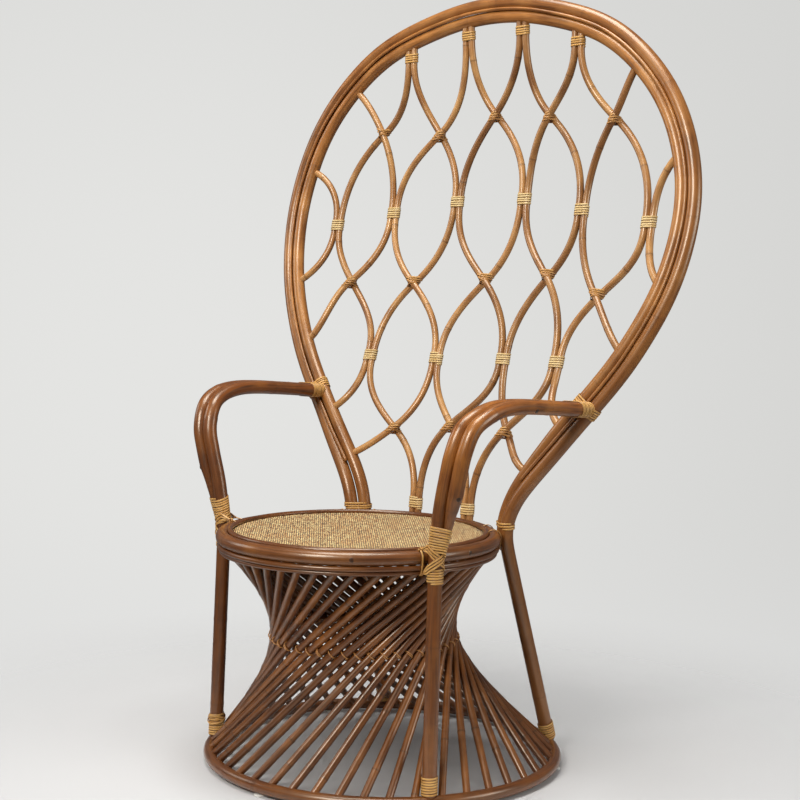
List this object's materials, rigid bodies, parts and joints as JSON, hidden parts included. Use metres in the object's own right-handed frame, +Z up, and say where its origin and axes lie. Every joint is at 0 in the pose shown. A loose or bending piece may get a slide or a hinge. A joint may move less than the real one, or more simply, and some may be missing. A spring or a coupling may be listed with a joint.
{
  "type": "rattan peacock chair",
  "caption": "High-backed rattan armchair with a balloon-shaped lattice back, round woven seat and twisted-cane hourglass base.",
  "frame": {"origin": "on the floor under the middle of the chair's width and depth", "axes": "+Z up, the sitter faces -Y, +X to the sitter's left"},
  "size_m": [1.0384, 0.702, 1.5068],
  "materials": {
    "dark_pole": "stained rattan pole, satin varnish",
    "dark_cane": "stained whole cane, satin varnish",
    "golden_pole": "golden-brown rattan pole, glossy varnish",
    "golden_cane": "golden-brown whole cane, glossy varnish",
    "seat_weave": "fine plain weave of split cane, matt",
    "golden_strip": "flat cane strip, golden, satin",
    "pale_strip": "flat cane strip, pale straw, satin",
    "glide_plastic": "matt off-white"
  },
  "bodies": {
    "root": {"arm_and_leg_left": "dark_pole", "arm_and_leg_right": "dark_pole", "arm_foot_winding_left": "golden_strip", "arm_foot_winding_right": "golden_strip", "arm_hoop_winding_left": "golden_strip", "arm_hoop_winding_right": "golden_strip", "arm_outer_left": "dark_pole", "arm_outer_right": "dark_pole", "back_hoop_inner": "golden_pole", "back_hoop_outer": "golden_pole", "back_hoop_strip": "golden_pole", "base_hoop": "dark_pole", "binding_high_1": "pale_strip", "binding_high_2": "pale_strip", "binding_high_3": "pale_strip", "binding_high_4": "pale_strip", "binding_high_5": "pale_strip", "binding_high_6": "pale_strip", "binding_low_1": "pale_strip", "binding_low_2": "pale_strip", "binding_low_3": "pale_strip", "binding_low_4": "pale_strip", "binding_seat_1": "pale_strip", "binding_seat_2": "pale_strip", "binding_top_1": "golden_strip", "binding_top_2": "golden_strip", "binding_top_3": "golden_strip", "binding_top_4": "golden_strip", "cage_front": "dark_cane", "cage_left": "dark_cane", "cage_rear": "dark_cane", "cage_right": "dark_cane", "front_foot_tie_left": "golden_strip", "front_foot_tie_right": "golden_strip", "glide_1": "glide_plastic", "glide_2": "glide_plastic", "glide_3": "glide_plastic", "lattice_cane_01": "golden_cane", "lattice_cane_02": "golden_cane", "lattice_cane_03": "golden_cane", "lattice_cane_04": "golden_cane", "lattice_cane_05": "golden_cane", "lattice_cane_06": "golden_cane", "lattice_cane_07": "golden_cane", "lattice_cane_08": "golden_cane", "lattice_cane_09": "golden_cane", "lattice_cane_10": "golden_cane", "lattice_cane_11": "golden_cane", "lattice_cane_12": "golden_cane", "leg_tie_left": "golden_strip", "leg_tie_right": "golden_strip", "rear_foot_tie_left": "golden_strip", "rear_foot_tie_right": "golden_strip", "seat_hoop": "dark_pole", "seat_panel": "seat_weave", "seat_rim": "dark_pole", "seat_tie_left": "golden_strip", "seat_tie_right": "golden_strip", "under_hoop_lower": "dark_pole", "under_hoop_upper": "dark_pole"}
  },
  "joints": []
}
